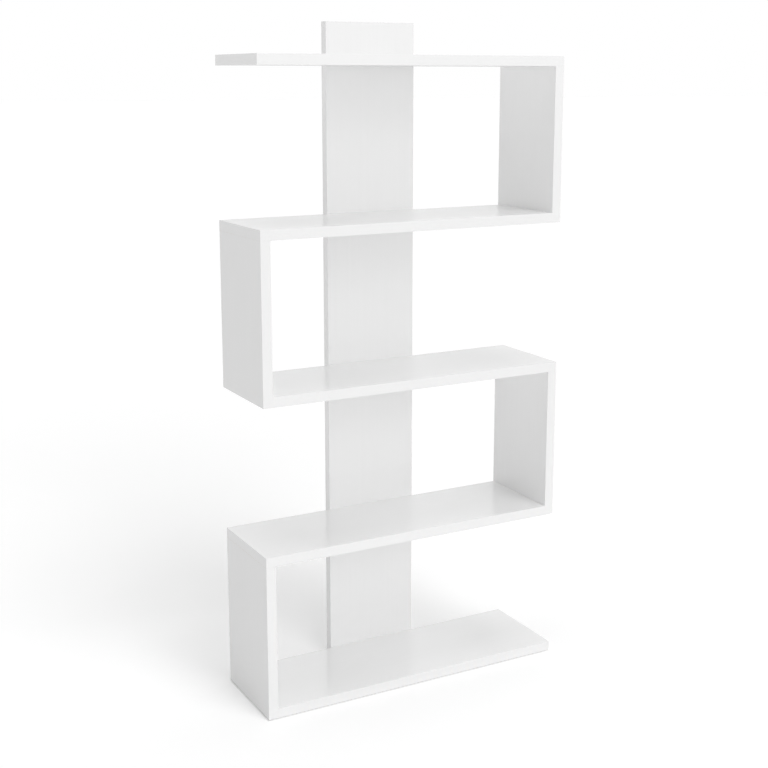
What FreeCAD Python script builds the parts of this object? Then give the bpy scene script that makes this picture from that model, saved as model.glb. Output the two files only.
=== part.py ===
import FreeCAD, Part
import math
import os

# A bookshelf that stands on the floor and runs up in a zigzag. Five shelf boards lie one above
# the other, one short upright board joins each pair, on the left and on the right in turn, and
# a narrow spine board behind them ties all five together and rises above the top shelf.
# Millimetres. +X points to the right seen from the front, +Y to the back and +Z up.
# The origin lies on the floor, under the middle of the whole bookshelf.

# Boards
shelf_width = 600.0
shelf_depth = 180.0
board_thickness = 18.0
bay_height = 264.0
bay_count = 4
spine_width = 180.0
spine_thickness = 18.0
spine_rise = 60.0

# Edging strips
edging_thickness = 1.0
edging_bevel = 0.4

# Bores and fits. Rods and bores that stay out of sight have a few flat sides.
bore_skin = 6.0
bore_end_gap = 1.0
fit_clearance = 0.05
seat_gap = 0.1
cut_overrun = 5.0
hidden_sides = 8

# Dowels, two at each end of an upright
dowel_diameter = 8.0
dowel_end_bore = 20.0
dowel_spacing = 106.0

# Cam bolts, one between each pair of dowels
cam_bolt_reach = 34.0
bolt_thread_diameter = 5.0
bolt_shank_diameter = 7.0
bolt_neck_diameter = 4.2
bolt_neck_length = 8.0
bolt_head_diameter = 6.6
bolt_head_length = 4.0
bolt_bevel = 0.6

# Cam locks
cam_bore_diameter = 15.0
cam_past_bolt = 4.5
cam_sides = 20
cam_hook_shift = 0.3
cam_slot_before = 25.0
cam_slot_sweep = 205.0
cam_cross_length = 7.0
cam_cross_width = 1.3
cam_cross_depth = 2.2

# Cam covers
cover_thickness = 1.2
cover_tab_length = 1.6

# Spine screws
screw_spacing = 110.0
screw_bite = 32.0
screw_core_diameter = 5.0
screw_shank_diameter = 7.0
screw_head_diameter = 10.0
screw_head_depth = 3.0
screw_tip_length = 2.5
screw_tip_diameter = 2.5
socket_across_flats = 4.0
socket_depth = 2.6
socket_sides = 6

# Screw caps
cap_diameter = 12.5
cap_thickness = 1.0
cap_peg_length = 2.2

# Glides
glide_diameter = 15.0
glide_height = 1.0
glide_inset = 25.0
spine_glide_inset = 50.0

# Places that follow from the sizes
total_depth = shelf_depth + spine_thickness + cap_thickness
front_y = -total_depth / 2
spine_front_y = front_y + shelf_depth
spine_back_y = spine_front_y + spine_thickness
shelf_mid_y = front_y + shelf_depth / 2
spine_mid_y = spine_front_y + spine_thickness / 2
left_x = -shelf_width / 2
right_x = shelf_width / 2
spine_left_x = -spine_width / 2
spine_right_x = spine_width / 2
bay_pitch = bay_height + board_thickness
spine_bottom_z = glide_height
spine_top_z = glide_height + bay_count * bay_pitch + board_thickness + spine_rise
levels = range(bay_count + 1)
bays = range(bay_count)

# Directions and turns
origin = FreeCAD.Vector(0, 0, 0)
rightward = FreeCAD.Vector(1, 0, 0)
backward = FreeCAD.Vector(0, 1, 0)
upward = FreeCAD.Vector(0, 0, 1)
quarter_turn = 90
half_turn = 180
full_turn = 360


# Basic shapes

def block(low, high):
    """A box between two opposite corners."""
    span = [b - a for a, b in zip(low, high)]
    return Part.makeBox(span[0], span[1], span[2], FreeCAD.Vector(*low))


def flat_face(corners):
    """A flat face with straight sides."""
    return Part.Face(Part.makePolygon(corners + corners[:1]))


def turned(outline):
    """A round solid about Z, from an outline of diameters and heights."""
    corners = [FreeCAD.Vector(diameter / 2, 0, height) for diameter, height in outline]
    return flat_face(corners).revolve(origin, upward, full_turn)


def faceted(outline, sides=hidden_sides):
    """A flat-sided solid about Z, from an outline of diameters across its corners and heights."""
    turns = [2 * math.pi * side / sides for side in range(sides)]
    rings = [
        [FreeCAD.Vector(d / 2 * math.cos(turn), d / 2 * math.sin(turn), height) for turn in turns]
        for d, height in outline
    ]
    faces = [flat_face(rings[0][::-1]), flat_face(rings[-1])]
    for low, high in zip(rings, rings[1:]):
        for side in range(sides):
            after = (side + 1) % sides
            faces.append(flat_face([low[side], low[after], high[after], high[side]]))
    return Part.Solid(Part.Shell(faces))


def across_corners(across_flats, sides):
    """The width between opposite corners of a flat-sided shape."""
    return across_flats / math.cos(math.pi / sides)


def placed(shape, place, axis=rightward, angle=0):
    """A copy of the shape, turned about an axis through the origin, then moved to its place."""
    copy = shape.copy()
    copy.rotate(origin, axis, angle)
    copy.translate(place)
    return copy


def opposite(spacing):
    """The two offsets of a pair that lies evenly about the middle."""
    return (-spacing / 2, spacing / 2)


# Places of the shelves, corners and spine joints

def shelf_bottom(level):
    """Height of a shelf's underside, from level 0 on the floor upwards."""
    return glide_height + level * bay_pitch


def upright_side(bay):
    """The side that a bay's upright stands on: -1 left, 1 right. The lowest stands left."""
    return 1 if bay % 2 else -1


def upright_mid_x(bay):
    """The middle of an upright's thickness."""
    return upright_side(bay) * (shelf_width - board_thickness) / 2


def corners_of_bay(bay):
    """The middle of each end of an upright: the shelf met, the place, 1 where it rises from there."""
    x = upright_mid_x(bay)
    foot = FreeCAD.Vector(x, shelf_mid_y, shelf_bottom(bay) + board_thickness)
    head = FreeCAD.Vector(x, shelf_mid_y, shelf_bottom(bay + 1))
    return ((bay, foot, 1), (bay + 1, head, -1))


def turn_for(rise):
    """The turn about X that points a piece drawn upwards into the upright."""
    return 0 if rise > 0 else half_turn


def across_joint(bay, piece, offsets, met_level=None):
    """Copies of a piece that crosses the joints of an upright, at all of its ends or at one shelf."""
    return [
        placed(piece, corner + backward * offset, rightward, turn_for(rise))
        for level, corner, rise in corners_of_bay(bay)
        for offset in offsets
        if met_level in (None, level)
    ]


def cam_centres(bay):
    """The middle of each cam bore's mouth in an upright's right face, 1 where its joint is below."""
    return [
        (corner + rightward * (board_thickness / 2) + upward * (rise * cam_bolt_reach), rise)
        for _, corner, rise in corners_of_bay(bay)
    ]


def spine_joints(level):
    """Where a pair of screws crosses the joint between a shelf and the spine."""
    height = shelf_bottom(level) + board_thickness / 2
    return [FreeCAD.Vector(offset, spine_front_y, height) for offset in opposite(screw_spacing)]


def into_spine(piece, level):
    """Copies of a piece, drawn upwards, that point backwards through the joints of a shelf."""
    return [placed(piece, joint, rightward, -quarter_turn) for joint in spine_joints(level)]


# Drillings. Each is drawn once, on both sides of the joint that it crosses at height 0, and cut
# from every board and strip that it passes through.

face_bore_depth = board_thickness - bore_skin
cam_bore_depth = board_thickness / 2 + cam_past_bolt

dowel_bore = faceted([
    (dowel_diameter + 2 * fit_clearance, -face_bore_depth),
    (dowel_diameter + 2 * fit_clearance, dowel_end_bore),
])
bolt_bore = faceted([
    (bolt_thread_diameter, -face_bore_depth),
    (bolt_thread_diameter, 0),
    (bolt_shank_diameter + 2 * fit_clearance, 0),
    (bolt_shank_diameter + 2 * fit_clearance, cam_bolt_reach),
])
screw_bore = faceted([
    (screw_core_diameter, -screw_bite - bore_end_gap),
    (screw_core_diameter, 0),
    (screw_shank_diameter, 0),
    (screw_shank_diameter, spine_thickness - screw_head_depth),
    (screw_head_diameter, spine_thickness),
    (screw_head_diameter, spine_thickness + cut_overrun),
])


def joint_bores(bay, level=None):
    """Bores for the bolts and dowels of an upright, at both ends or only where it meets a shelf."""
    bolts = across_joint(bay, bolt_bore, [0], level)
    return bolts + across_joint(bay, dowel_bore, opposite(dowel_spacing), level)


def cam_bores(bay):
    """Bores for the cam locks in an upright's right face."""
    return [
        Part.makeCylinder(cam_bore_diameter / 2, cam_bore_depth, centre, -rightward)
        for centre, _ in cam_centres(bay)
    ]


# Boards: coated chipboard, cut to leave room for the edging on every edge that shows

def shelf_board(level):
    """One shelf, bored for the uprights that meet it and for the spine's screws."""
    bottom = shelf_bottom(level)
    board = block(
        (left_x + edging_thickness, front_y + edging_thickness, bottom),
        (right_x - edging_thickness, spine_front_y - edging_thickness, bottom + board_thickness),
    )
    bores = into_spine(screw_bore, level)
    for bay in bays:
        bores += joint_bores(bay, level)
    return board.cut(bores)


def upright_board(bay):
    """One upright, which stands between two shelves, flush with their ends and front."""
    middle = upright_mid_x(bay)
    board = block(
        (middle - board_thickness / 2, front_y + edging_thickness, shelf_bottom(bay) + board_thickness),
        (middle + board_thickness / 2, spine_front_y - edging_thickness, shelf_bottom(bay + 1)),
    )
    return board.cut(joint_bores(bay) + cam_bores(bay))


def spine_board():
    """The board behind the shelves, from the glides to above the top shelf."""
    board = block(
        (spine_left_x + edging_thickness, spine_front_y, spine_bottom_z),
        (spine_right_x - edging_thickness, spine_back_y, spine_top_z - edging_thickness),
    )
    return board.cut([bore for level in levels for bore in into_spine(screw_bore, level)])


# Edging: plastic strips with their outer corners bevelled

def strip(start, run, across, length, width):
    """An edging strip from its outer corner at start, along run, as wide as its board across."""
    into = across.cross(run)
    outline = [
        (edging_thickness, 0),
        (edging_bevel, 0),
        (0, edging_bevel),
        (0, width - edging_bevel),
        (edging_bevel, width),
        (edging_thickness, width),
    ]
    corners = [start + into * depth + across * height for depth, height in outline]
    return flat_face(corners).extrude(run * length)


def shelf_edging(level):
    """Four strips: front, back, and the two ends between them."""
    bottom = shelf_bottom(level)
    end_length = shelf_depth - 2 * edging_thickness
    front_end_y = front_y + edging_thickness
    rear_end_y = spine_front_y - edging_thickness
    front = strip(
        FreeCAD.Vector(left_x, front_y, bottom), rightward, upward, shelf_width, board_thickness
    )
    rear = strip(
        FreeCAD.Vector(right_x, spine_front_y, bottom), -rightward, upward, shelf_width, board_thickness
    )
    left = strip(
        FreeCAD.Vector(left_x, rear_end_y, bottom), -backward, upward, end_length, board_thickness
    )
    right = strip(
        FreeCAD.Vector(right_x, front_end_y, bottom), backward, upward, end_length, board_thickness
    )
    return [front, rear.cut(into_spine(screw_bore, level)), left, right]


def upright_edging(bay):
    """Two strips, on the front and rear edges. The ends are bare against the shelves."""
    low_x = upright_mid_x(bay) - board_thickness / 2
    high_x = upright_mid_x(bay) + board_thickness / 2
    foot = shelf_bottom(bay) + board_thickness
    front = strip(
        FreeCAD.Vector(high_x, front_y, foot), upward, -rightward, bay_height, board_thickness
    )
    rear = strip(
        FreeCAD.Vector(low_x, spine_front_y, foot), upward, rightward, bay_height, board_thickness
    )
    return [front, rear]


def spine_edging():
    """Three strips: both long edges, and the top between them. The foot is bare."""
    height = spine_top_z - spine_bottom_z
    left = strip(
        FreeCAD.Vector(spine_left_x, spine_front_y, spine_bottom_z),
        upward, backward, height, spine_thickness,
    )
    right = strip(
        FreeCAD.Vector(spine_right_x, spine_back_y, spine_bottom_z),
        upward, -backward, height, spine_thickness,
    )
    top = strip(
        FreeCAD.Vector(spine_left_x + edging_thickness, spine_front_y, spine_top_z),
        rightward, backward, spine_width - 2 * edging_thickness, spine_thickness,
    )
    return [left, right, top]


# Dowels: beech pegs across the joints between uprights and shelves

def corner_dowels():
    """Two dowels at each end of each upright."""
    peg = faceted([
        (dowel_diameter, bore_end_gap - face_bore_depth),
        (dowel_diameter, dowel_end_bore - bore_end_gap),
    ])
    return [dowel for bay in bays for dowel in across_joint(bay, peg, opposite(dowel_spacing))]


# Cam fittings: a headed bolt screwed into the shelf, and a slotted cam in the upright that
# hooks behind the bolt's head and draws the joint tight as it is turned

def cam_bolts():
    """A bolt at each end of each upright, its thread in the shelf and its head in the cam."""
    neck_start = cam_bolt_reach - bolt_neck_length
    head_start = cam_bolt_reach - bolt_head_length
    bolt = faceted([
        (bolt_thread_diameter, bore_end_gap - face_bore_depth),
        (bolt_thread_diameter, 0),
        (bolt_shank_diameter, 0),
        (bolt_shank_diameter, neck_start - bolt_bevel),
        (bolt_neck_diameter, neck_start),
        (bolt_neck_diameter, head_start),
        (bolt_head_diameter, head_start + bolt_bevel),
        (bolt_head_diameter, cam_bolt_reach),
    ])
    return [piece for bay in bays for piece in across_joint(bay, bolt, [0])]


def cam_lock():
    """One cam on the Z axis, with the board's face at height 0 and its joint in the direction of X."""
    diameter = cam_bore_diameter - 2 * fit_clearance
    face = -cover_thickness - seat_gap
    back = seat_gap - cam_bore_depth
    bolt_height = -board_thickness / 2
    body = faceted([(diameter, back), (diameter, face)], cam_sides)

    # Chamber round the bolt's head, off centre so that turning the cam pulls the head along
    chamber_width = bolt_head_diameter + 2 * seat_gap
    chamber_radius = math.hypot(bolt_head_diameter / 2, bolt_head_length + cam_hook_shift)
    chamber_diameter = across_corners(2 * chamber_radius, hidden_sides)
    chamber = faceted([
        (chamber_diameter, bolt_height - chamber_width / 2),
        (chamber_diameter, bolt_height + chamber_width / 2),
    ])
    chamber.translate(rightward * -cam_hook_shift)

    # Slot round one side for the bolt's neck, and the mouth that its head goes in by
    slot_width = bolt_neck_diameter + 2 * seat_gap
    slot_floor = FreeCAD.Vector(0, 0, bolt_height - slot_width / 2)
    slot = Part.makeCylinder(cam_bore_diameter, slot_width, slot_floor, upward, cam_slot_sweep)
    slot.rotate(origin, upward, -cam_slot_before)
    mouth = placed(
        faceted([(chamber_width, 0), (chamber_width, cam_bore_diameter)]),
        upward * bolt_height, backward, -quarter_turn,
    )

    # Crossed recess for the screwdriver
    cross = [
        block(
            (-length / 2, -width / 2, face - cam_cross_depth),
            (length / 2, width / 2, face + cut_overrun),
        )
        for length, width in (
            (cam_cross_length, cam_cross_width),
            (cam_cross_width, cam_cross_length),
        )
    ]
    return body.cut([chamber, slot, mouth] + cross)


def cam_locks():
    """A cam for each bolt, facing right."""
    cam = placed(cam_lock(), origin, backward, quarter_turn)
    return [
        placed(cam, centre, rightward, turn_for(rise))
        for bay in bays
        for centre, rise in cam_centres(bay)
    ]


def cam_covers():
    """A cover for each cam, flush with the upright's face, with a tab down the cam's recess."""
    diameter = cam_bore_diameter - 2 * fit_clearance
    length = cam_cross_length - 2 * seat_gap
    width = cam_cross_width - 2 * seat_gap
    disc = turned([(0, -cover_thickness), (diameter, -cover_thickness), (diameter, 0), (0, 0)])
    tab = block(
        (-length / 2, -width / 2, -cover_thickness - cover_tab_length),
        (length / 2, width / 2, -cover_thickness),
    )
    cover = disc.fuse(tab)
    return [
        placed(cover, centre, backward, quarter_turn)
        for bay in bays
        for centre, _ in cam_centres(bay)
    ]


# Spine screws: driven from behind, through the spine into the shelves' rear edges

def spine_screws():
    """Two screws for each shelf, with a six-sided socket in the head."""
    screw = faceted([
        (screw_tip_diameter, -screw_bite),
        (screw_core_diameter, screw_tip_length - screw_bite),
        (screw_core_diameter, 0),
        (screw_shank_diameter, 0),
        (screw_shank_diameter, spine_thickness - screw_head_depth),
        (screw_head_diameter, spine_thickness),
    ])
    socket_width = across_corners(socket_across_flats, socket_sides)
    socket = faceted([
        (socket_width, spine_thickness - socket_depth),
        (socket_width, spine_thickness + cut_overrun),
    ], socket_sides)
    screw = screw.cut(socket)
    return [piece for level in levels for piece in into_spine(screw, level)]


def spine_screw_caps():
    """A cap for each screw, lying on the spine's back, with a peg down the screw's socket."""
    peg_width = across_corners(socket_across_flats - 2 * seat_gap, socket_sides)
    top = spine_thickness + cap_thickness
    disc = turned([(0, spine_thickness), (cap_diameter, spine_thickness), (cap_diameter, top), (0, top)])
    peg = faceted([
        (peg_width, spine_thickness - cap_peg_length),
        (peg_width, spine_thickness),
    ], socket_sides)
    cap = disc.fuse(peg)
    return [piece for level in levels for piece in into_spine(cap, level)]


# Glides: plastic discs stuck under the lowest shelf and the spine

def glides():
    """Four glides under the lowest shelf and two under the spine."""
    disc = turned([(0, 0), (glide_diameter, 0), (glide_diameter, glide_height), (0, glide_height)])
    places = [
        FreeCAD.Vector(x, shelf_mid_y + y, 0)
        for x in opposite(shelf_width - 2 * glide_inset)
        for y in opposite(shelf_depth - 2 * glide_inset)
    ]
    places += [
        FreeCAD.Vector(x, spine_mid_y, 0) for x in opposite(spine_width - 2 * spine_glide_inset)
    ]
    return [placed(disc, place) for place in places]


# The whole bookshelf, piece by piece. Shelves and uprights are numbered from the floor.

pieces = {}
for level in levels:
    pieces[f"shelf_{level + 1}_board"] = shelf_board(level)
    pieces[f"shelf_{level + 1}_edging"] = Part.makeCompound(shelf_edging(level))
for bay in bays:
    side = "left" if upright_side(bay) < 0 else "right"
    pieces[f"upright_{bay + 1}_{side}_board"] = upright_board(bay)
    pieces[f"upright_{bay + 1}_{side}_edging"] = Part.makeCompound(upright_edging(bay))
pieces["spine_board"] = spine_board()
pieces["spine_edging"] = Part.makeCompound(spine_edging())
pieces["corner_dowels"] = Part.makeCompound(corner_dowels())
pieces["cam_bolts"] = Part.makeCompound(cam_bolts())
pieces["cam_locks"] = Part.makeCompound(cam_locks())
pieces["cam_covers"] = Part.makeCompound(cam_covers())
pieces["spine_screws"] = Part.makeCompound(spine_screws())
pieces["spine_screw_caps"] = Part.makeCompound(spine_screw_caps())
pieces["glides"] = Part.makeCompound(glides())

os.makedirs("parts", exist_ok=True)
for name, shape in pieces.items():
    shape.exportStep(f"parts/{name}.step")
    print(name, len(shape.Solids), "solids", round(shape.Volume), "mm3", "valid", shape.isValid())
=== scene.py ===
import bmesh
import bpy
import math
from mathutils import Matrix, Vector


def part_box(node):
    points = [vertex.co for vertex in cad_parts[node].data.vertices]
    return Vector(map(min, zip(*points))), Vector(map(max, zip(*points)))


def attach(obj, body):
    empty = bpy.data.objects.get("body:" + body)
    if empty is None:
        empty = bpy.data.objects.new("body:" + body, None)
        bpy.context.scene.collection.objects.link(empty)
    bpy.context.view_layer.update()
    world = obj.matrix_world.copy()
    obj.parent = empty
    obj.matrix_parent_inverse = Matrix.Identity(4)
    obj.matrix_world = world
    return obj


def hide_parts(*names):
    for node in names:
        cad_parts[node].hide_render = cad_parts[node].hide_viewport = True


# The bookshelf as it is built: boards, edging, fittings and glides, in metres, with the
# floor and light round it. +X is right, +Y is back, +Z is up, and the floor is at 0.
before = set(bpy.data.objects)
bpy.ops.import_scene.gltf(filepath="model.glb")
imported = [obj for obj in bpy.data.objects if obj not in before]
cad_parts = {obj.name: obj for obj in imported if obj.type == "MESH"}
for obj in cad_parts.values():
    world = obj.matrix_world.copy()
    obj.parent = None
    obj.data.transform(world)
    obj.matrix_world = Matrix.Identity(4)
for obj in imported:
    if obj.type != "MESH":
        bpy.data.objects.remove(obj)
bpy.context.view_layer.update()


# The shelf, upright and spine boards.
# 18 mm chipboard, faced on both sides with white melamine paper. Its hard clear face mirrors
# softly what stands on it. Where a board is cut or drilled, its bare brown chips show.

def add_node(tree, kind, inputs=None, **settings):
    """Adds a node to a material or group, sets it up, and fills or links its inputs."""
    made = tree.nodes.new(kind)
    for name, value in settings.items():
        setattr(made, name, value)
    for name, value in (inputs or {}).items():
        if isinstance(value, bpy.types.NodeSocket):
            tree.links.new(value, made.inputs[name])
        else:
            made.inputs[name].default_value = value
    return made


def new_group(name, inputs, outputs):
    """A shader node group with named inputs, each with a kind and a value, and named outputs."""
    group = bpy.data.node_groups.new(name, "ShaderNodeTree")
    for label, kind, value in inputs:
        socket = group.interface.new_socket(label, in_out="INPUT", socket_type=kind)
        socket.default_value = value
    for label, kind in outputs:
        group.interface.new_socket(label, in_out="OUTPUT", socket_type=kind)
    return group, group.nodes.new("NodeGroupInput").outputs


def use_group(tree, group, inputs=None):
    """Places a node group in a material or in another group."""
    return add_node(tree, "ShaderNodeGroup", inputs, node_tree=group)


def mix_colours(tree, share, first, second):
    """The colour between two colours, by a share that varies over the surface."""
    made = add_node(tree, "ShaderNodeMix", {0: share, 6: first, 7: second}, data_type="RGBA")
    return made.outputs[2]


def spread(tree, value, low, high, new_low, new_high):
    """A value moved from one range to another, and held at its ends."""
    numbers = {"Value": value, "From Min": low, "From Max": high, "To Min": new_low, "To Max": new_high}
    return add_node(tree, "ShaderNodeMapRange", numbers).outputs["Result"]


def new_material(name):
    """A material with its Principled shader, and the tree to build in."""
    material = bpy.data.materials.new(name)
    material.use_nodes = True
    return material, material.node_tree, material.node_tree.nodes["Principled BSDF"]


def feed(tree, shader, **sockets):
    """Links what varies over the surface to the shader."""
    for name, value in sockets.items():
        tree.links.new(value, shader.inputs[name.replace("_", " ")])


def bumped(tree, height, strength, depth):
    """A normal from a height, for a relief of a real depth."""
    numbers = {"Height": height, "Strength": strength, "Distance": depth}
    return add_node(tree, "ShaderNodeBump", numbers).outputs["Normal"]


board_scuffs_per_metre = 9.0
scuff_threshold = 0.55
scuff_full = 0.78


def scuffs_group():
    """A mask of the faint rubs that handling leaves on a white surface, 1 in the worst spots."""
    group, given = new_group(
        "handling scuffs",
        [("Spots", "NodeSocketFloat", board_scuffs_per_metre)],
        [("Scuffs", "NodeSocketFloat")],
    )
    place = add_node(group, "ShaderNodeTexCoord").outputs["Object"]
    rubs = add_node(
        group, "ShaderNodeTexNoise",
        {"Vector": place, "Scale": given["Spots"], "Detail": 7.0, "Roughness": 0.65, "Distortion": 0.8},
    ).outputs["Fac"]
    out = group.nodes.new("NodeGroupOutput")
    group.links.new(spread(group, rubs, scuff_threshold, scuff_full, 0.0, 1.0), out.inputs["Scuffs"])
    return group


glossiest = 0.8
dullest = 0.7
clear_face_index = 4.0
clear_face_roughness = 0.19
clouds_per_metre = 6.0
pressed_grains_per_metre = 1600.0
# Nearly all of a noise lies between these two.
noise_low = 0.35
noise_high = 0.65
grain_relief_share = 0.35
paper_smoothest = 0.44
paper_roughest = 0.5
rub_dulling = 0.1


def hard_face(shader):
    """A hard clear face over the white, which mirrors the room alike from every side."""
    shader.inputs["Specular IOR Level"].default_value = 0.0
    shader.inputs["Coat IOR"].default_value = clear_face_index
    shader.inputs["Coat Roughness"].default_value = clear_face_roughness


def melamine_group():
    """Melamine paper: cloudy white, with a faint grain along the board and a pressed texture."""
    group, given = new_group(
        "melamine paper",
        [
            ("White", "NodeSocketColor", (1, 1, 1, 1)),
            ("Cloud", "NodeSocketColor", (1, 1, 1, 1)),
            ("Rubbed", "NodeSocketColor", (1, 1, 1, 1)),
            ("Grain", "NodeSocketVector", (1, 1, 1)),
        ],
        [
            ("Color", "NodeSocketColor"),
            ("Roughness", "NodeSocketFloat"),
            ("Gloss", "NodeSocketFloat"),
            ("Height", "NodeSocketFloat"),
        ],
    )
    place = add_node(group, "ShaderNodeTexCoord").outputs["Object"]
    clouds = add_node(
        group, "ShaderNodeTexNoise", {"Vector": place, "Scale": clouds_per_metre, "Detail": 3.0}
    ).outputs["Fac"]
    along = add_node(
        group, "ShaderNodeVectorMath", {0: place, 1: given["Grain"]}, operation="MULTIPLY"
    ).outputs["Vector"]
    grain = add_node(
        group, "ShaderNodeTexNoise", {"Vector": along, "Scale": 1.0, "Detail": 4.0}
    ).outputs["Fac"]
    pressed = add_node(
        group, "ShaderNodeTexNoise",
        {"Vector": place, "Scale": pressed_grains_per_metre, "Detail": 2.0},
    ).outputs["Fac"]
    both = add_node(group, "ShaderNodeMath", {0: clouds, 1: grain}, operation="ADD").outputs[0]
    share = spread(group, both, 2 * noise_low, 2 * noise_high, 0.0, 1.0)
    height = add_node(
        group, "ShaderNodeMath", {0: grain, 1: grain_relief_share, 2: pressed}, operation="MULTIPLY_ADD"
    ).outputs[0]
    rubs = use_group(group, scuffs).outputs["Scuffs"]
    white = mix_colours(group, share, given["Cloud"], given["White"])
    rough = spread(group, both, 2 * noise_low, 2 * noise_high, paper_smoothest, paper_roughest)
    rough = add_node(
        group, "ShaderNodeMath", {0: rubs, 1: rub_dulling, 2: rough}, operation="MULTIPLY_ADD"
    ).outputs[0]
    out = group.nodes.new("NodeGroupOutput")
    group.links.new(mix_colours(group, rubs, white, given["Rubbed"]), out.inputs["Color"])
    group.links.new(rough, out.inputs["Roughness"])
    group.links.new(spread(group, rubs, 0.0, 1.0, glossiest, dullest), out.inputs["Gloss"])
    group.links.new(height, out.inputs["Height"])
    return group


chips_per_metre = 320.0
chip_dark = (0.23, 0.13, 0.06, 1)
chip_middle = (0.43, 0.28, 0.14, 1)
chip_pale = (0.6, 0.43, 0.25, 1)
chip_middle_share = 0.45


def chipboard_group():
    """Bare chipboard: flat chips of spruce from pale to brown, pressed together."""
    group, given = new_group(
        "bare chipboard",
        [("Chips", "NodeSocketFloat", chips_per_metre)],
        [("Color", "NodeSocketColor"), ("Height", "NodeSocketFloat")],
    )
    place = add_node(group, "ShaderNodeTexCoord").outputs["Object"]
    chips = add_node(
        group, "ShaderNodeTexVoronoi", {"Vector": place, "Scale": given["Chips"], "Randomness": 1.0}
    )
    shades = add_node(group, "ShaderNodeValToRGB", {"Fac": chips.outputs["Color"]})
    shades.color_ramp.elements[0].color = chip_dark
    shades.color_ramp.elements[1].color = chip_pale
    middle = shades.color_ramp.elements.new(chip_middle_share)
    middle.color = chip_middle
    out = group.nodes.new("NodeGroupOutput")
    group.links.new(shades.outputs["Color"], out.inputs["Color"])
    group.links.new(chips.outputs["Distance"], out.inputs["Height"])
    return group


cut_edge_lean = 0.5


def bare_group():
    """A mask that is 1 on a board's cut edges and bores, and 0 on its two faced sides."""
    group, given = new_group(
        "cut edges and bores", [("Faced", "NodeSocketVector", (0, 0, 1))], [("Bare", "NodeSocketFloat")]
    )
    outward = add_node(group, "ShaderNodeNewGeometry").outputs["True Normal"]
    lean = add_node(
        group, "ShaderNodeVectorMath", {0: outward, 1: given["Faced"]}, operation="DOT_PRODUCT"
    ).outputs["Value"]
    size = add_node(group, "ShaderNodeMath", {0: lean}, operation="ABSOLUTE").outputs[0]
    bare = add_node(
        group, "ShaderNodeMath", {0: size, 1: cut_edge_lean}, operation="LESS_THAN"
    ).outputs[0]
    out = group.nodes.new("NodeGroupOutput")
    group.links.new(bare, out.inputs["Bare"])
    return group


scuffs = scuffs_group()
melamine = melamine_group()
chipboard = chipboard_group()
cut_edges = bare_group()
melamine_white = (0.9, 0.9, 0.9, 1)
melamine_cloud = (0.886, 0.886, 0.886, 1)
melamine_rubbed = (0.868, 0.867, 0.864, 1)
board_relief = 0.00006
bare_dulling = 0.4
grain_along = 5
grain_across = 240


def board_material(name, faced, grain):
    """Melamine-faced chipboard, with the direction of its faces and the stretch of its grain."""
    material, tree, shader = new_material(name)
    finish = {
        "White": melamine_white, "Cloud": melamine_cloud, "Rubbed": melamine_rubbed, "Grain": grain
    }
    paper = use_group(tree, melamine, finish).outputs
    core = use_group(tree, chipboard).outputs
    bare = use_group(tree, cut_edges, {"Faced": faced}).outputs["Bare"]
    height = add_node(
        tree, "ShaderNodeMix", {0: bare, 2: paper["Height"], 3: core["Height"]}
    ).outputs[0]
    rough = add_node(
        tree, "ShaderNodeMath", {0: bare, 1: bare_dulling, 2: paper["Roughness"]},
        operation="MULTIPLY_ADD",
    ).outputs[0]
    gloss = add_node(tree, "ShaderNodeMix", {0: bare, 2: paper["Gloss"], 3: 0.0}).outputs[0]
    feed(
        tree, shader,
        Base_Color=mix_colours(tree, bare, paper["Color"], core["Color"]),
        Roughness=rough,
        Coat_Weight=gloss,
        Normal=bumped(tree, height, strength=0.25, depth=board_relief),
    )
    hard_face(shader)
    return material


lengthwise = (grain_along, grain_across, grain_across)
upward = (grain_across, grain_across, grain_along)
shelf_melamine = board_material("shelf melamine", (0, 0, 1), lengthwise)
upright_melamine = board_material("upright melamine", (1, 0, 0), upward)
spine_melamine = board_material("spine melamine", (0, 1, 0), upward)

shelves = [f"shelf_{number}" for number in range(1, 6)]
uprights = ["upright_1_left", "upright_2_right", "upright_3_left", "upright_4_right"]
for board, material in (
    [(shelf, shelf_melamine) for shelf in shelves]
    + [(upright, upright_melamine) for upright in uprights]
    + [("spine", spine_melamine)]
):
    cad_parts[f"{board}_board"].material_slots[0].material = material


# The edging strips.
# White plastic tape 1 mm thick, glued hot to every cut edge that shows. The machine trims it
# flush with the board and scrapes its long corners round, which leaves fine cross ripples.

strip_thickness = 0.001
strip_round = 0.0002
strip_round_steps = 4
strip_flat_start = 3 * strip_round
screw_spacing = 0.11
pilot_radius = 0.0026
pilot_sides = 32
smooth_limit = 35
tape_white = (0.9, 0.9, 0.9, 1)
tape_cloud = (0.89, 0.89, 0.89, 1)
tape_worn = (0.76, 0.755, 0.74, 1)
tape_clouds_per_metre = 12.0
tape_ripples_per_metre = 500.0
tape_scuffs_per_metre = 40.0
tape_smoothest = 0.42
tape_roughest = 0.54
tape_relief = 0.00003
corner_wear = 0.85
face_wear = 0.15


def edging_outline(width):
    """The strip's section as depths into the board and heights across it, and 1 on its corners."""
    steps = [math.radians(90) * step / strip_round_steps for step in range(strip_round_steps + 1)]
    low = [(strip_thickness, 0, 0)]
    low += [(strip_round * (1 - math.sin(t)), strip_round * (1 - math.cos(t)), 1) for t in steps]
    low += [(0, strip_flat_start, 0)]
    return low + [(depth, width - height, mark) for depth, height, mark in reversed(low)]


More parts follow.
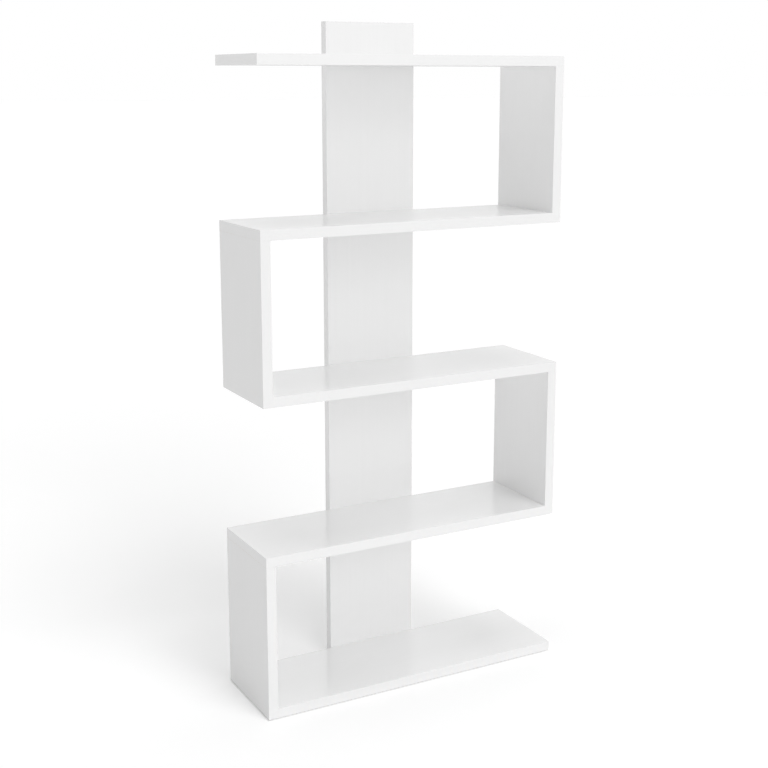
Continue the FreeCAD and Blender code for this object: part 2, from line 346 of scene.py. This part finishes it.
def lay_strip(mesh, corner_mark, start, run, across, length, width):
    """Adds one strip to a mesh, from its outer corner at start, along run."""
    into = across.cross(run)
    outline = edging_outline(width)
    rings = []
    for place in (start, start + run * length):
        ring = [mesh.verts.new(place + into * depth + across * height) for depth, height, _ in outline]
        for point, (_, _, mark) in zip(ring, outline):
            point[corner_mark] = mark
        rings.append(ring)
    count = len(outline)
    for side in range(count):
        after = (side + 1) % count
        face = mesh.faces.new([rings[0][side], rings[0][after], rings[1][after], rings[1][side]])
        face.smooth = outline[side][2] == 1 and outline[after][2] == 1
    mesh.faces.new(rings[0][::-1])
    mesh.faces.new(rings[1])


def turned_ring(height, radius, sides, reach=None):
    """Points round Z at a height. The reach may give each turn its own share of the radius."""
    turns = [2 * math.pi * side / sides for side in range(sides)]
    shares = [reach(turn) if reach else 1 for turn in turns]
    return [
        (radius * share * math.cos(turn), radius * share * math.sin(turn), height)
        for turn, share in zip(turns, shares)
    ]


def closed_solid(rings):
    """A drawn piece from rings of points, one after the other, closed by a flat end on both."""
    mesh = bmesh.new()
    loops = [[mesh.verts.new(point) for point in ring] for ring in rings]
    for low_loop, high_loop in zip(loops, loops[1:]):
        for side in range(len(low_loop)):
            after = (side + 1) % len(low_loop)
            mesh.faces.new([low_loop[side], low_loop[after], high_loop[after], high_loop[side]])
    mesh.faces.new(loops[0][::-1])
    mesh.faces.new(loops[-1])
    for face in mesh.faces:
        face.smooth = True
    bmesh.ops.recalc_face_normals(mesh, faces=mesh.faces)
    data = bpy.data.meshes.new("drawn")
    mesh.to_mesh(data)
    mesh.free()
    return data


def carve(data, cutters):
    """The drawn piece with the drawn cutters taken out of it."""
    piece = bpy.data.objects.new("drawn", data)
    bpy.context.scene.collection.objects.link(piece)
    tools = []
    for cutter in cutters:
        tool = bpy.data.objects.new("cutter", cutter)
        bpy.context.scene.collection.objects.link(tool)
        cut = piece.modifiers.new("cut", "BOOLEAN")
        cut.object = tool
        cut.solver = "EXACT"
        tools.append(tool)
    bpy.context.view_layer.update()
    result = bpy.data.meshes.new_from_object(
        piece.evaluated_get(bpy.context.evaluated_depsgraph_get())
    )
    for used in tools + [piece]:
        bpy.data.objects.remove(used)
    return result


def rear_strip(low, high):
    """The strip on a shelf's rear edge, drilled for the two screws that come through the spine."""
    mesh = bmesh.new()
    mark = mesh.verts.layers.float.new("corner")
    lay_strip(mesh, mark, Vector((high.x, high.y, low.z)), -right, up, high.x - low.x, high.z - low.z)
    bmesh.ops.recalc_face_normals(mesh, faces=mesh.faces)
    data = bpy.data.meshes.new("drawn")
    mesh.to_mesh(data)
    mesh.free()
    drills = []
    for x in (-screw_spacing / 2, screw_spacing / 2):
        drill = closed_solid([
            turned_ring(-strip_thickness, pilot_radius, pilot_sides),
            turned_ring(strip_thickness, pilot_radius, pilot_sides),
        ])
        place = Matrix.Translation((x, high.y - strip_thickness / 2, (low.z + high.z) / 2))
        drill.transform(place @ Matrix.Rotation(math.radians(90), 4, "X"))
        drills.append(drill)
    return carve(data, drills)


def finish_piece(name, mesh, material, node):
    """Makes the mesh a piece of the bookshelf that stands for its construction node."""
    bmesh.ops.recalc_face_normals(mesh, faces=mesh.faces)
    data = bpy.data.meshes.new(name)
    mesh.to_mesh(data)
    mesh.free()
    data.set_sharp_from_angle(angle=math.radians(smooth_limit))
    data.materials.append(material)
    piece = bpy.data.objects.new(name, data)
    bpy.context.scene.collection.objects.link(piece)
    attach(piece, "root")
    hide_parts(node)


def edging_material():
    """White plastic tape, a little greyer where hands have rubbed its corners."""
    material, tree, shader = new_material("white edging tape")
    place = add_node(tree, "ShaderNodeTexCoord").outputs["Object"]
    ripples = add_node(
        tree, "ShaderNodeTexNoise", {"Vector": place, "Scale": tape_ripples_per_metre, "Detail": 2.0}
    ).outputs["Fac"]
    cloud = add_node(
        tree, "ShaderNodeTexNoise", {"Vector": place, "Scale": tape_clouds_per_metre, "Detail": 3.0}
    ).outputs["Fac"]
    rubs = use_group(tree, scuffs, {"Spots": tape_scuffs_per_metre}).outputs["Scuffs"]
    corner = add_node(tree, "ShaderNodeAttribute", attribute_name="corner").outputs["Fac"]
    worn = add_node(
        tree, "ShaderNodeMath", {0: corner, 1: corner_wear, 2: face_wear}, operation="MULTIPLY_ADD"
    ).outputs[0]
    worn = add_node(tree, "ShaderNodeMath", {0: worn, 1: rubs}, operation="MULTIPLY").outputs[0]
    share = spread(tree, cloud, noise_low, noise_high, 0.0, 1.0)
    white = mix_colours(tree, share, tape_cloud, tape_white)
    feed(
        tree, shader,
        Base_Color=mix_colours(tree, worn, white, tape_worn),
        Roughness=spread(tree, rubs, 0.0, 1.0, tape_smoothest, tape_roughest),
        Coat_Weight=spread(tree, rubs, 0.0, 1.0, glossiest, dullest),
        Normal=bumped(tree, ripples, strength=0.1, depth=tape_relief),
    )
    hard_face(shader)
    return material


edging_tape = edging_material()
right, back, up = Vector((1, 0, 0)), Vector((0, 1, 0)), Vector((0, 0, 1))

for shelf in shelves:
    low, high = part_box(f"{shelf}_edging")
    thick = high.z - low.z
    wide = high.x - low.x
    inner = high.y - low.y - 2 * strip_thickness
    mesh = bmesh.new()
    mesh.from_mesh(rear_strip(low, high))
    mark = mesh.verts.layers.float["corner"]
    lay_strip(mesh, mark, Vector((low.x, low.y, low.z)), right, up, wide, thick)
    lay_strip(mesh, mark, Vector((low.x, high.y - strip_thickness, low.z)), -back, up, inner, thick)
    lay_strip(mesh, mark, Vector((high.x, low.y + strip_thickness, low.z)), back, up, inner, thick)
    finish_piece(f"{shelf}_edging_tape", mesh, edging_tape, f"{shelf}_edging")

for upright in uprights:
    low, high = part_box(f"{upright}_edging")
    tall = high.z - low.z
    thick = high.x - low.x
    mesh = bmesh.new()
    mark = mesh.verts.layers.float.new("corner")
    lay_strip(mesh, mark, Vector((high.x, low.y, low.z)), up, -right, tall, thick)
    lay_strip(mesh, mark, Vector((low.x, high.y, low.z)), up, right, tall, thick)
    finish_piece(f"{upright}_edging_tape", mesh, edging_tape, f"{upright}_edging")

low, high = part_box("spine_edging")
tall = high.z - low.z
thick = high.y - low.y
inner = high.x - low.x - 2 * strip_thickness
mesh = bmesh.new()
mark = mesh.verts.layers.float.new("corner")
lay_strip(mesh, mark, Vector((low.x, low.y, low.z)), up, back, tall, thick)
lay_strip(mesh, mark, Vector((high.x, high.y, low.z)), up, -back, tall, thick)
lay_strip(mesh, mark, Vector((low.x + strip_thickness, low.y, high.z)), right, back, inner, thick)
finish_piece("spine_edging_tape", mesh, edging_tape, "spine_edging")


# The glides.
# Thin round plastic pads that keep the lowest shelf and the spine off a damp floor. Each has
# a rounded rim below, and its gummed upper side sticks to the board.

glide_sides = 48
glide_radius = 0.0075
glide_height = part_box("glides")[1].z
glide_round = 0.0003
glide_round_steps = 4
plastic_white = (0.87, 0.87, 0.862, 1)
plastic_dulled = (0.81, 0.806, 0.79, 1)
plastic_grains_per_metre = 2600.0
plastic_scuffs_per_metre = 150.0
plastic_smoothest = 0.36
plastic_roughest = 0.5
plastic_relief = 0.00004


def rounded_rim(radius, height, size, steps, sides):
    """Rings over a rounded rim, from its outside up to the flat end at a height."""
    turns = [math.radians(90) * step / steps for step in range(steps + 1)]
    return [
        turned_ring(height - size * (1 - math.sin(t)), radius - size * (1 - math.cos(t)), sides)
        for t in turns
    ]


def lay_copies(data, places):
    """A mesh with a copy of the drawn piece at each place."""
    mesh = bmesh.new()
    for place in places:
        copy = data.copy()
        copy.transform(place)
        mesh.from_mesh(copy)
        bpy.data.meshes.remove(copy)
    return mesh


def plastic_material():
    """White moulded plastic with a fine grain, dulled where it has been handled."""
    material, tree, shader = new_material("white moulded plastic")
    place = add_node(tree, "ShaderNodeTexCoord").outputs["Object"]
    grain = add_node(
        tree, "ShaderNodeTexNoise",
        {"Vector": place, "Scale": plastic_grains_per_metre, "Detail": 3.0},
    ).outputs["Fac"]
    rubs = use_group(tree, scuffs, {"Spots": plastic_scuffs_per_metre}).outputs["Scuffs"]
    feed(
        tree, shader,
        Base_Color=mix_colours(tree, rubs, plastic_white, plastic_dulled),
        Roughness=spread(tree, rubs, 0.0, 1.0, plastic_smoothest, plastic_roughest),
        Normal=bumped(tree, grain, strength=0.3, depth=plastic_relief),
    )
    return material


white_plastic = plastic_material()
glide = closed_solid(
    [turned_ring(glide_height, glide_radius, glide_sides)]
    + [
        [(x, y, glide_height - z) for x, y, z in ring]
        for ring in rounded_rim(glide_radius, glide_height, glide_round, glide_round_steps, glide_sides)
    ]
)
shelf_low, shelf_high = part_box("shelf_1_edging")
spine_low, spine_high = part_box("spine_edging")
glide_inset = 0.025
spine_glide_inset = 0.05
glide_places = [
    (x, y)
    for x in (shelf_low.x + glide_inset, shelf_high.x - glide_inset)
    for y in (shelf_low.y + glide_inset, shelf_high.y - glide_inset)
]
glide_places += [
    (x, (spine_low.y + spine_high.y) / 2)
    for x in (spine_low.x + spine_glide_inset, spine_high.x - spine_glide_inset)
]
mesh = lay_copies(glide, [Matrix.Translation((x, y, 0)) for x, y in glide_places])
finish_piece("floor_glides", mesh, white_plastic, "glides")


# The cam covers.
# Thin moulded plastic discs that hide the cams in the uprights' right faces. A flat tab behind
# each disc presses into the cam's crossed recess.

cover_sides = 64
cover_radius = 0.00745
cover_thickness = 0.0012
cover_round = 0.00025
cover_round_steps = 3
tab_length = 0.0068
tab_width = 0.0011
tab_depth = 0.0016
cam_from_joint = 0.034


def tab_reach(turn):
    """How far the tab's outline reaches at a turn, as a share of half its length."""
    squareness = 14
    across = abs(math.cos(turn)) ** squareness
    along = abs(math.sin(turn) * tab_length / tab_width) ** squareness
    return (across + along) ** (-1 / squareness)


cover = closed_solid(
    [
        turned_ring(-cover_thickness - tab_depth, tab_length / 2, cover_sides, tab_reach),
        turned_ring(-cover_thickness, tab_length / 2, cover_sides, tab_reach),
        turned_ring(-cover_thickness, cover_radius, cover_sides),
    ]
    + rounded_rim(cover_radius, 0, cover_round, cover_round_steps, cover_sides)
)

# Each joint of an upright: the middle of its foot or head, and the turn that leads into it.
joints = []
cam_places = []
for upright in uprights:
    low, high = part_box(f"{upright}_board")
    middle = (low + high) / 2
    for height, turn, rise in ((low.z, 0, 1), (high.z, 180, -1)):
        into = Matrix.Rotation(math.radians(turn), 4, "X")
        joints.append(Matrix.Translation((middle.x, middle.y, height)) @ into)
        centre = Matrix.Translation((high.x, middle.y, height + rise * cam_from_joint))
        cam_places.append(centre @ into @ Matrix.Rotation(math.radians(90), 4, "Y"))
mesh = lay_copies(cover, cam_places)
finish_piece("cam_cover_discs", mesh, white_plastic, "cam_covers")


# The screw caps.
# Moulded plastic caps, a little domed, that hide the screw heads on the spine's back. A peg
# with six sides presses each one into its screw's socket.

cap_sides = 60
cap_radius = 0.00625
cap_thickness = 0.001
cap_rim = 0.0004
cap_dome_steps = 6
cap_dome_share = 0.75
cap_crown_share = 0.2
peg_across_flats = 0.0038
peg_length = 0.0022
spine_thickness = 0.018


def hexagon_reach(turn):
    """How far a six-sided outline reaches at a turn, as a share of half its width across flats."""
    return 1 / math.cos(turn % math.radians(60) - math.radians(30))


def cap_rings():
    """The peg, the disc's underside and rim, and the low dome over it."""
    seat = spine_thickness
    rings = [
        turned_ring(seat - peg_length, peg_across_flats / 2, cap_sides, hexagon_reach),
        turned_ring(seat, peg_across_flats / 2, cap_sides, hexagon_reach),
        turned_ring(seat, cap_radius, cap_sides),
    ]
    for step in range(cap_dome_steps):
        share = step / cap_dome_steps
        rise = cap_rim + (cap_thickness - cap_rim) * math.sqrt(1 - (1 - share) ** 2)
        reach = cap_radius * (1 - share ** 2 * cap_dome_share)
        rings.append(turned_ring(seat + rise, reach, cap_sides))
    rings.append(turned_ring(seat + cap_thickness, cap_radius * cap_crown_share, cap_sides))
    return rings


into_spine = Matrix.Rotation(math.radians(-90), 4, "X")
spine_joints = []
for shelf in shelves:
    low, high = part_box(f"{shelf}_board")
    for offset in (-screw_spacing / 2, screw_spacing / 2):
        place = Matrix.Translation((offset, spine_low.y, (low.z + high.z) / 2))
        spine_joints.append(place @ into_spine)
mesh = lay_copies(closed_solid(cap_rings()), spine_joints)
finish_piece("screw_cap_domes", mesh, white_plastic, "spine_screw_caps")


# The corner dowels.
# Beech pegs, turned with ribs that carry the glue and with bevelled ends. Two cross each
# joint between an upright and a shelf.

dowel_sides = 96
dowel_ribs = 24
dowel_radius = 0.004
dowel_groove = 0.0003
dowel_bevel = 0.0009
dowel_in_shelf = 0.011
dowel_in_upright = 0.019
dowel_spacing = 0.106
beech_dark = (0.42, 0.24, 0.12, 1)
beech_light = (0.6, 0.4, 0.23, 1)
beech_grain_along = 90
beech_grain_across = 1800
beech_smoothest = 0.55
beech_roughest = 0.7
beech_relief = 0.0001
dulling_low = 0.3
dulling_high = 0.7


def ribbed(turn):
    """The dowel's ribs and grooves round its turn."""
    return 1 - dowel_groove / dowel_radius * (0.5 - 0.5 * math.cos(dowel_ribs * turn))


def beech_material():
    """Turned beech with a fine straight grain and darker flecks."""
    material, tree, shader = new_material("turned beech")
    place = add_node(tree, "ShaderNodeTexCoord").outputs["Object"]
    stretch = (beech_grain_across, beech_grain_across, beech_grain_along)
    along = add_node(
        tree, "ShaderNodeVectorMath", {0: place, 1: stretch}, operation="MULTIPLY"
    ).outputs["Vector"]
    grain = add_node(
        tree, "ShaderNodeTexNoise", {"Vector": along, "Scale": 1.0, "Detail": 5.0}
    ).outputs["Fac"]
    share = spread(tree, grain, noise_low, noise_high, 0.0, 1.0)
    feed(
        tree, shader,
        Base_Color=mix_colours(tree, share, beech_dark, beech_light),
        Roughness=spread(tree, grain, dulling_low, dulling_high, beech_smoothest, beech_roughest),
        Normal=bumped(tree, grain, strength=0.4, depth=beech_relief),
    )
    return material


turned_beech = beech_material()
dowel = closed_solid([
    turned_ring(-dowel_in_shelf, dowel_radius - dowel_bevel, dowel_sides),
    turned_ring(dowel_bevel - dowel_in_shelf, dowel_radius, dowel_sides, ribbed),
    turned_ring(dowel_in_upright - dowel_bevel, dowel_radius, dowel_sides, ribbed),
    turned_ring(dowel_in_upright, dowel_radius - dowel_bevel, dowel_sides),
])
dowel_places = [
    joint @ Matrix.Translation((0, offset, 0))
    for joint in joints
    for offset in (-dowel_spacing / 2, dowel_spacing / 2)
]
mesh = lay_copies(dowel, dowel_places)
finish_piece("ribbed_dowels", mesh, turned_beech, "corner_dowels")


# The cam bolts.
# Zinc-plated steel, with a coarse thread that bites into the shelf, a shank as thick as the
# bore in the upright, and a narrow neck below the head that the cam hooks behind.

bolt_sides = 48
bolt_thread_depth = 0.011
bolt_core = 0.0025
bolt_crest = 0.0031
bolt_pitch = 0.0018
bolt_tip = 0.0016
bolt_tip_share = 0.7
thread_steps = 8
thread_sharpness = 3
bolt_shank = 0.0035
bolt_shank_end = 0.0254
bolt_neck = 0.0021
bolt_neck_start = 0.026
bolt_neck_end = 0.03
bolt_seat = 0.003
bolt_head = 0.0033
bolt_head_start = 0.0306
bolt_length = 0.034
bolt_bevel = 0.0004
plated_dark = (0.42, 0.43, 0.45, 1)
plated_light = (0.62, 0.63, 0.65, 1)
plated_smoothest = 0.22
plated_roughest = 0.38
metal_marks_per_metre = 700.0
metal_relief = 0.00005


def thread_rings(start, end, core, crest, pitch, sides, tip_length, tip_share):
    """Rings over a thread that starts at a tapered tip."""
    rings = []
    count = round((end - start) / pitch * thread_steps)
    for step in range(count + 1):
        height = start + (end - start) * step / count
        taper = min(1, tip_share + (1 - tip_share) * (height - start) / tip_length)
        runout = min(1, (end - height) / pitch, (height - start) / pitch)

        def threaded(turn):
            phase = (height / pitch - turn / (2 * math.pi)) % 1
            tooth = max(0, 1 - abs(phase - 0.5) * thread_sharpness)
            return taper * (core + (crest - core) * tooth * runout)

        rings.append(turned_ring(height, 1, sides, threaded))
    return rings


def metal_group():
    """Bright metal dulled by the tumbling and handling of small parts."""
    group, given = new_group(
        "tumbled metal",
        [
            ("Dark", "NodeSocketColor", (0.4, 0.4, 0.4, 1)),
            ("Light", "NodeSocketColor", (0.6, 0.6, 0.6, 1)),
            ("Smoothest", "NodeSocketFloat", 0.2),
            ("Roughest", "NodeSocketFloat", 0.4),
        ],
        [
            ("Color", "NodeSocketColor"),
            ("Roughness", "NodeSocketFloat"),
            ("Height", "NodeSocketFloat"),
        ],
    )
    place = add_node(group, "ShaderNodeTexCoord").outputs["Object"]
    marks = add_node(
        group, "ShaderNodeTexNoise", {"Vector": place, "Scale": metal_marks_per_metre, "Detail": 6.0}
    ).outputs["Fac"]
    share = spread(group, marks, noise_low, noise_high, 0.0, 1.0)
    out = group.nodes.new("NodeGroupOutput")
    group.links.new(mix_colours(group, share, given["Dark"], given["Light"]), out.inputs["Color"])
    rough = spread(group, marks, dulling_low, dulling_high, given["Smoothest"], given["Roughest"])
    group.links.new(rough, out.inputs["Roughness"])
    group.links.new(marks, out.inputs["Height"])
    return group


tumbled_metal = metal_group()


def metal_material(name, dark, light, smoothest, roughest):
    """A plated or cast metal in its own greys."""
    material, tree, shader = new_material(name)
    shader.inputs["Metallic"].default_value = 1.0
    marks = use_group(
        tree, tumbled_metal,
        {"Dark": dark, "Light": light, "Smoothest": smoothest, "Roughest": roughest},
    ).outputs
    feed(
        tree, shader,
        Base_Color=marks["Color"],
        Roughness=marks["Roughness"],
        Normal=bumped(tree, marks["Height"], strength=0.3, depth=metal_relief),
    )
    return material


plated_steel = metal_material(
    "zinc-plated steel", plated_dark, plated_light, plated_smoothest, plated_roughest
)
bolt_outline = [
    (0, bolt_shank),
    (bolt_shank_end, bolt_shank),
    (bolt_neck_start, bolt_neck),
    (bolt_neck_end, bolt_neck),
    (bolt_neck_end + bolt_bevel, bolt_seat),
    (bolt_head_start, bolt_head),
    (bolt_length - bolt_bevel, bolt_head),
    (bolt_length, bolt_head - bolt_bevel),
]
bolt = closed_solid(
    thread_rings(
        -bolt_thread_depth, 0, bolt_core, bolt_crest, bolt_pitch, bolt_sides, bolt_tip, bolt_tip_share
    )
    + [turned_ring(height, radius, bolt_sides) for height, radius in bolt_outline]
)
mesh = lay_copies(bolt, joints)
finish_piece("threaded_cam_bolts", mesh, plated_steel, "cam_bolts")


# The cam locks.
# Die-cast zinc drums, open on one side for the bolt's head and slotted round the other for its
# neck. A screwdriver in the cross turns them, and they pull the joint tight.

cam_sides = 64
cam_radius = 0.00745
cam_face = -0.0013
cam_back = -0.0134
cam_rim = 0.0003
cam_rim_steps = 2
bolt_height = -0.009
chamber_radius = 0.00542
chamber_width = 0.0068
hook_shift = 0.0003
slot_width = 0.0044
slot_from = -25
slot_sweep = 205
slot_steps = 40
cross_length = 0.007
cross_width = 0.0013
cross_depth = 0.0022
cast_dark = (0.33, 0.34, 0.35, 1)
cast_light = (0.48, 0.49, 0.5, 1)
cast_smoothest = 0.4
cast_roughest = 0.6


def sector(radius, width, start, sweep, steps):
    """A wedge of a disc about Z, evenly above and below height 0."""
    turns = [math.radians(start + sweep * step / steps) for step in range(steps + 1)]
    outline = [(0, 0)] + [(radius * math.cos(turn), radius * math.sin(turn)) for turn in turns]
    return closed_solid([[(x, y, height) for x, y in outline] for height in (-width / 2, width / 2)])


def slab(length, width, low, high):
    """A straight-sided cutter about Z."""
    x, y = length / 2, width / 2
    corners = [(x, y), (-x, y), (-x, -y), (x, -y)]
    return closed_solid([[(*corner, height) for corner in corners] for height in (low, high)])


drum = closed_solid(
    [turned_ring(cam_back, cam_radius, cam_sides)]
    + rounded_rim(cam_radius, cam_face, cam_rim, cam_rim_steps, cam_sides)
)
chamber = closed_solid([
    turned_ring(height, chamber_radius, cam_sides) for height in (-chamber_width / 2, chamber_width / 2)
])
chamber.transform(Matrix.Translation((-hook_shift, 0, bolt_height)))
neck_slot = sector(2 * cam_radius, slot_width, slot_from, slot_sweep, slot_steps)
neck_slot.transform(Matrix.Translation((0, 0, bolt_height)))
mouth = closed_solid([
    turned_ring(height, chamber_width / 2, cam_sides) for height in (0, 2 * cam_radius)
])
mouth.transform(
    Matrix.Translation((0, 0, bolt_height)) @ Matrix.Rotation(math.radians(-90), 4, "Y")
)
cross = [
    slab(length, width, cam_face - cross_depth, 0)
    for length, width in ((cross_length, cross_width), (cross_width, cross_length))
]
cast_zinc = metal_material("die-cast zinc", cast_dark, cast_light, cast_smoothest, cast_roughest)
cam = carve(drum, [chamber, neck_slot, mouth] + cross)
mesh = lay_copies(cam, cam_places)
finish_piece("round_cam_locks", mesh, cast_zinc, "cam_locks")


# The spine screws.
# Zinc-plated steel, driven from behind through the spine into the shelves' rear edges. The
# deep thread cuts its own way, and the sunk head has a six-sided socket.

screw_sides = 48
screw_bite = 0.032
screw_core = 0.0025
screw_crest = 0.0035
screw_pitch = 0.003
screw_tip = 0.003
screw_tip_share = 0.4
screw_shank = 0.0035
screw_shank_end = 0.015
screw_cone_radius = 0.0048
screw_cone_end = 0.0176
screw_head = 0.005
socket_across_flats = 0.004
socket_depth = 0.0026
screw_outline = [
    (0, screw_shank),
    (screw_shank_end, screw_shank),
    (screw_cone_end, screw_cone_radius),
    (spine_thickness, screw_head),
]
screw = closed_solid(
    thread_rings(
        -screw_bite, 0, screw_core, screw_crest, screw_pitch, screw_sides, screw_tip, screw_tip_share
    )
    + [turned_ring(height, radius, screw_sides) for height, radius in screw_outline]
    + [
        turned_ring(height, socket_across_flats / 2, screw_sides, hexagon_reach)
        for height in (spine_thickness, spine_thickness - socket_depth)
    ]
)
mesh = lay_copies(screw, spine_joints)
finish_piece("threaded_spine_screws", mesh, plated_steel, "spine_screws")


# The floor.
# A plain white studio floor that runs out of sight and keeps the bookshelf's soft shadow.

floor_reach = 60.0
mesh = bmesh.new()
bmesh.ops.create_grid(mesh, x_segments=1, y_segments=1, size=floor_reach)
data = bpy.data.meshes.new("floor")
mesh.to_mesh(data)
mesh.free()
floor = bpy.data.objects.new("floor", data)
bpy.context.scene.collection.objects.link(floor)

floor_white = (0.95, 0.95, 0.95, 1)
floor_seen_white = (1.097, 1.097, 1.097, 1)
paint, tree, shader = new_material("studio floor")
rays = add_node(tree, "ShaderNodeLightPath").outputs
seen = mix_colours(tree, rays["Is Camera Ray"], floor_white, floor_seen_white)
tree.links.new(seen, shader.inputs["Base Color"])
shader.inputs["Roughness"].default_value = 1.0
shader.inputs["Specular IOR Level"].default_value = 0.0
floor.data.materials.append(paint)


# The light.
# White all round and five soft lamps: one overhead, a wide and a narrow one in front for the
# spine, a narrow one in front on the right, which throws the shadow back and to the left, and a
# weak one behind on the right. The boards mirror only the white room, not the lamps.

room_level = 0.385
world = bpy.data.worlds.new("studio")
bpy.context.scene.world = world
world.use_nodes = True
tree = world.node_tree
rays = add_node(tree, "ShaderNodeLightPath").outputs
seen = add_node(
    tree, "ShaderNodeMath", {0: rays["Is Camera Ray"], 1: rays["Is Glossy Ray"]}, operation="MAXIMUM"
)
seen = add_node(
    tree, "ShaderNodeMath", {0: seen.outputs[0], 1: rays["Is Transmission Ray"]}, operation="MAXIMUM"
)
level = spread(tree, seen.outputs[0], 0.0, 1.0, room_level, 1.0)
sky = tree.nodes["Background"]
sky.inputs["Color"].default_value = (1, 1, 1, 1)
tree.links.new(level, sky.inputs["Strength"])


def hang_lamp(name, bearing, height, width, strength):
    """A soft lamp out of sight, at a bearing from the front to the right and a height, in degrees."""
    lamp = bpy.data.lights.new(name, "SUN")
    lamp.energy = strength
    lamp.angle = math.radians(width)
    hung = bpy.data.objects.new(name, lamp)
    turn, tilt = math.radians(bearing), math.radians(height)
    toward = Vector((
        math.sin(turn) * math.cos(tilt), -math.cos(turn) * math.cos(tilt), math.sin(tilt)
    ))
    hung.rotation_euler = toward.to_track_quat("Z", "Y").to_euler()
    hung.visible_glossy = False
    bpy.context.scene.collection.objects.link(hung)


wide_lamp = 42
narrow_lamp = 25
hang_lamp("overhead_lamp", bearing=0, height=90, width=wide_lamp, strength=0.775)
hang_lamp("low_front_lamp", bearing=0, height=20, width=wide_lamp, strength=0.604)
hang_lamp("front_lamp", bearing=0, height=35, width=narrow_lamp, strength=0.263)
hang_lamp("front_right_lamp", bearing=20, height=55, width=narrow_lamp, strength=0.552)
hang_lamp("rear_right_lamp", bearing=120, height=55, width=wide_lamp, strength=0.138)


# The camera.
# It stands in front and to the left, a little lower than the top shelf, and looks slightly down.
# The lens is shifted, so that the uprights lean in less than they otherwise would.

camera_place = (-1.1255, -2.0337, 1.1085)
camera_tilt = 78.782
camera_turn = -28.614
lens_length = 60.557
lens_shift_px = 50
picture_px = 768
view = bpy.data.cameras.new("camera")
view.lens = lens_length
view.shift_y = -lens_shift_px / picture_px
camera = bpy.data.objects.new("camera", view)
camera.location = camera_place
camera.rotation_euler = (math.radians(camera_tilt), 0, math.radians(camera_turn))
bpy.context.scene.collection.objects.link(camera)
bpy.context.scene.camera = camera

bpy.context.scene.view_settings.view_transform = "Standard"
